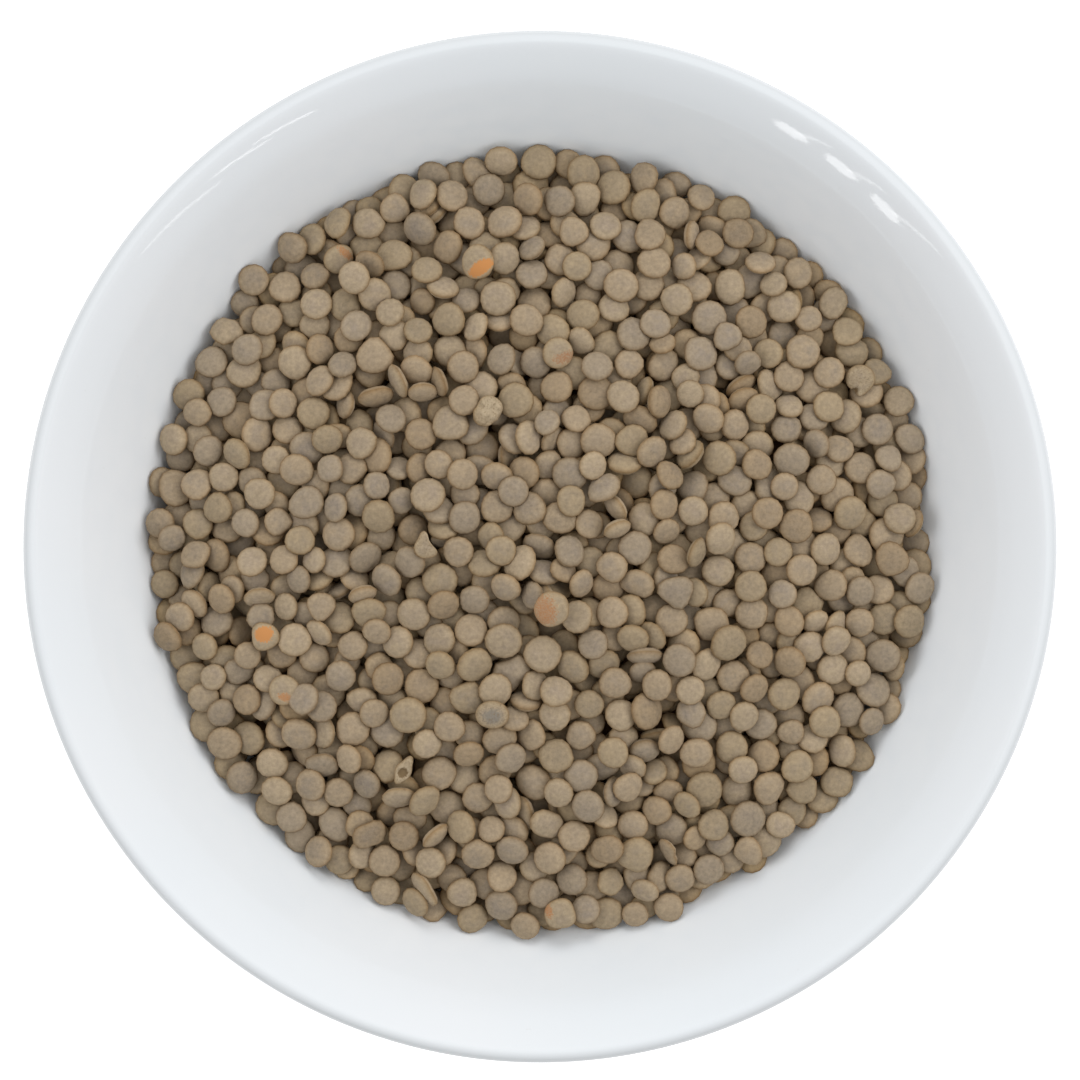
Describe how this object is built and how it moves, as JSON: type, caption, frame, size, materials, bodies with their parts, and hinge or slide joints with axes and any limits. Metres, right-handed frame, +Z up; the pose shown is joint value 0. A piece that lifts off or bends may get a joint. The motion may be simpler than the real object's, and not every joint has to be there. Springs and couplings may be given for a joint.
{
  "type": "bowl of dry lentils",
  "caption": "Round white glazed bowl with a flared wall, rounded lip and foot ring, holding a low mound of small dry brown lentils.",
  "frame": {"origin": "centre of the foot ring's flat underside, on the surface that the bowl stands on", "axes": "+Z up out of the bowl; +Y towards the top of the picture and +X towards its right"},
  "size_m": [0.15, 0.15, 0.05],
  "materials": {
    "white_glaze": "gloss",
    "lentil_skin": "matte"
  },
  "bodies": {
    "root": {"bowl": "white_glaze", "lentils": "lentil_skin"}
  },
  "joints": []
}
